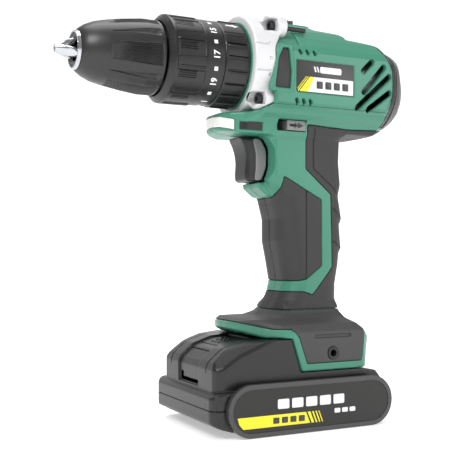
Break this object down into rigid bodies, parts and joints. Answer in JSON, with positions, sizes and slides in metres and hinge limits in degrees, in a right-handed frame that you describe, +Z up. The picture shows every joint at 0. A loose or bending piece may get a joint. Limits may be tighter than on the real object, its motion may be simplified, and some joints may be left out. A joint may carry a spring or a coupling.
{
  "type": "cordless drill",
  "caption": "Pistol-grip cordless drill: keyless chuck, torque and mode rings, alloy gearbox collar, ribbed rubber grip and a slide-on battery pack in the foot.",
  "frame": {"origin": "on the ground under the middle of the tool's box", "axes": "+X forward along the spindle towards the chuck, +Y to the tool's left side, +Z up"},
  "size_m": [0.234, 0.086, 0.241],
  "materials": {
    "green_plastic": "satin moulded plastic with a fine spark texture",
    "soft_grip": "matt soft overmould",
    "black_plastic": "satin black moulded plastic",
    "grey_plastic": "satin grey plastic",
    "light_alloy": "light grey painted die casting",
    "steel": "machined",
    "bright_steel": "polished",
    "black_steel": "blackened",
    "copper": "enamelled copper",
    "brass": "satin",
    "magnet": "sintered",
    "carbon": "graphite",
    "circuit_board": "lacquered",
    "lens": "clear moulded lens",
    "label": "printed label",
    "cell_wrap": "shrink sleeve",
    "wire": "insulated lead"
  },
  "bodies": {
    "housing": {"housing_left": "green_plastic", "housing_right": "green_plastic", "rear_cap": "black_plastic", "grip_left": "soft_grip", "grip_right": "soft_grip", "foot_cover": "soft_grip", "housing_screws": "black_steel", "gear_cover": "light_alloy", "gear_cover_screws": "black_steel", "gearbox_case": "black_plastic", "ring_gear_1": "steel", "ring_gear_2": "steel", "clutch_balls": "bright_steel", "clutch_spring": "steel", "bearings": "bright_steel", "motor_can": "steel", "motor_magnets": "magnet", "motor_end_bell": "black_plastic", "carbon_brushes": "carbon", "switch_body": "black_plastic", "led_lens": "lens", "led_board": "circuit_board", "wiring": "wire", "terminal_block": "black_plastic", "terminal_blades": "brass", "side_labels": "label", "clip_inserts": "brass"},
    "rotor": {"motor_shaft": "steel", "armature": "steel", "windings": "copper", "commutator": "brass", "cooling_fan": "black_plastic"},
    "carrier_1": {"carrier_1": "steel"},
    "planet_1a": {"planet_1a": "steel"},
    "planet_1b": {"planet_1b": "steel"},
    "planet_1c": {"planet_1c": "steel"},
    "spindle": {"output_spindle": "steel", "chuck_body": "black_plastic", "chuck_screw": "black_steel", "nose_ring": "bright_steel"},
    "planet_2a": {"planet_2a": "steel"},
    "planet_2b": {"planet_2b": "steel"},
    "planet_2c": {"planet_2c": "steel"},
    "chuck_sleeve": {"chuck_sleeve": "black_plastic", "chuck_nut": "steel"},
    "jaw_1": {"jaw_1": "bright_steel"},
    "jaw_2": {"jaw_2": "bright_steel"},
    "jaw_3": {"jaw_3": "bright_steel"},
    "torque_ring": {"torque_ring": "black_plastic"},
    "mode_ring": {"mode_ring": "black_plastic"},
    "trigger": {"trigger": "black_plastic"},
    "direction_lever": {"direction_lever": "grey_plastic"},
    "speed_selector": {"speed_selector": "black_plastic"},
    "battery": {"battery_case_lower": "black_plastic", "battery_case_upper": "black_plastic", "battery_cells": "cell_wrap", "battery_board": "circuit_board", "battery_end_plates": "black_plastic", "battery_labels": "label"},
    "latch_button": {"latch_button": "soft_grip"}
  },
  "joints": [
    {"name": "spindle_spin", "type": "hinge", "parent": "housing", "child": "spindle", "pos_m": [0, 0, 0.211], "axis": [1, 0, 0], "continuous": true},
    {"name": "rotor_spin", "type": "hinge", "parent": "housing", "child": "rotor", "pos_m": [-0.06, 0, 0.211], "axis": [1, 0, 0], "continuous": true},
    {"name": "carrier_spin", "type": "hinge", "parent": "housing", "child": "carrier_1", "pos_m": [-0.02, 0, 0.211], "axis": [1, 0, 0], "continuous": true},
    {"name": "planet_1a_spin", "type": "hinge", "parent": "carrier_1", "child": "planet_1a", "pos_m": [-0.026, 0, 0.2005], "axis": [1, 0, 0], "continuous": true},
    {"name": "planet_2a_spin", "type": "hinge", "parent": "spindle", "child": "planet_2a", "pos_m": [-0.014, 0, 0.2005], "axis": [1, 0, 0], "continuous": true},
    {"name": "planet_1b_spin", "type": "hinge", "parent": "carrier_1", "child": "planet_1b", "pos_m": [-0.026, 0.00909, 0.21625], "axis": [1, 0, 0], "continuous": true},
    {"name": "planet_2b_spin", "type": "hinge", "parent": "spindle", "child": "planet_2b", "pos_m": [-0.014, 0.00909, 0.21625], "axis": [1, 0, 0], "continuous": true},
    {"name": "planet_1c_spin", "type": "hinge", "parent": "carrier_1", "child": "planet_1c", "pos_m": [-0.026, -0.00909, 0.21625], "axis": [1, 0, 0], "continuous": true},
    {"name": "planet_2c_spin", "type": "hinge", "parent": "spindle", "child": "planet_2c", "pos_m": [-0.014, -0.00909, 0.21625], "axis": [1, 0, 0], "continuous": true},
    {"name": "sleeve_turn", "type": "hinge", "parent": "spindle", "child": "chuck_sleeve", "pos_m": [0.08, 0, 0.211], "axis": [1, 0, 0], "range_deg": [0, 1440]},
    {"name": "jaw_1_slide", "type": "slide", "parent": "spindle", "child": "jaw_1", "axis": [-0.9703, 0, 0.2419], "range_m": [0, 0.0261]},
    {"name": "jaw_2_slide", "type": "slide", "parent": "spindle", "child": "jaw_2", "axis": [-0.9703, -0.2095, -0.121], "range_m": [0, 0.0261]},
    {"name": "jaw_3_slide", "type": "slide", "parent": "spindle", "child": "jaw_3", "axis": [-0.9703, 0.2095, -0.121], "range_m": [0, 0.0261]},
    {"name": "torque_ring_turn", "type": "hinge", "parent": "housing", "child": "torque_ring", "pos_m": [0.04, 0, 0.211], "axis": [1, 0, 0], "range_deg": [-144, 198]},
    {"name": "mode_ring_turn", "type": "hinge", "parent": "housing", "child": "mode_ring", "pos_m": [0.018, 0, 0.211], "axis": [1, 0, 0], "range_deg": [-30, 30]},
    {"name": "trigger_pull", "type": "slide", "parent": "housing", "child": "trigger", "axis": [-1, 0, 0], "range_m": [0, 0.0065], "stiffness_N_per_m": 600, "springref_m": -0.004},
    {"name": "direction_shift", "type": "slide", "parent": "housing", "child": "direction_lever", "axis": [0, 1, 0], "range_m": [-0.0025, 0.0025]},
    {"name": "speed_shift", "type": "slide", "parent": "housing", "child": "speed_selector", "axis": [-1, 0, 0], "range_m": [0, 0.008]},
    {"name": "battery_slide", "type": "slide", "parent": "housing", "child": "battery", "axis": [1, 0, 0], "range_m": [0, 0.09]},
    {"name": "latch_press", "type": "slide", "parent": "battery", "child": "latch_button", "axis": [0, 0, -1], "range_m": [0, 0.003], "stiffness_N_per_m": 800, "springref_m": -0.002}
  ],
  "couplings": [
    {"joint": "rotor_spin", "follows": "spindle_spin", "ratio": 25},
    {"joint": "carrier_spin", "follows": "spindle_spin", "ratio": 5},
    {"joint": "planet_1a_spin", "follows": "spindle_spin", "ratio": -13.333},
    {"joint": "planet_2a_spin", "follows": "spindle_spin", "ratio": -2.6667},
    {"joint": "planet_1b_spin", "follows": "spindle_spin", "ratio": -13.333},
    {"joint": "planet_2b_spin", "follows": "spindle_spin", "ratio": -2.6667},
    {"joint": "planet_1c_spin", "follows": "spindle_spin", "ratio": -13.333},
    {"joint": "planet_2c_spin", "follows": "spindle_spin", "ratio": -2.6667},
    {"joint": "jaw_1_slide", "follows": "sleeve_turn", "m_per_rad": 0.0010345},
    {"joint": "jaw_2_slide", "follows": "sleeve_turn", "m_per_rad": 0.0010345},
    {"joint": "jaw_3_slide", "follows": "sleeve_turn", "m_per_rad": 0.0010345}
  ]
}
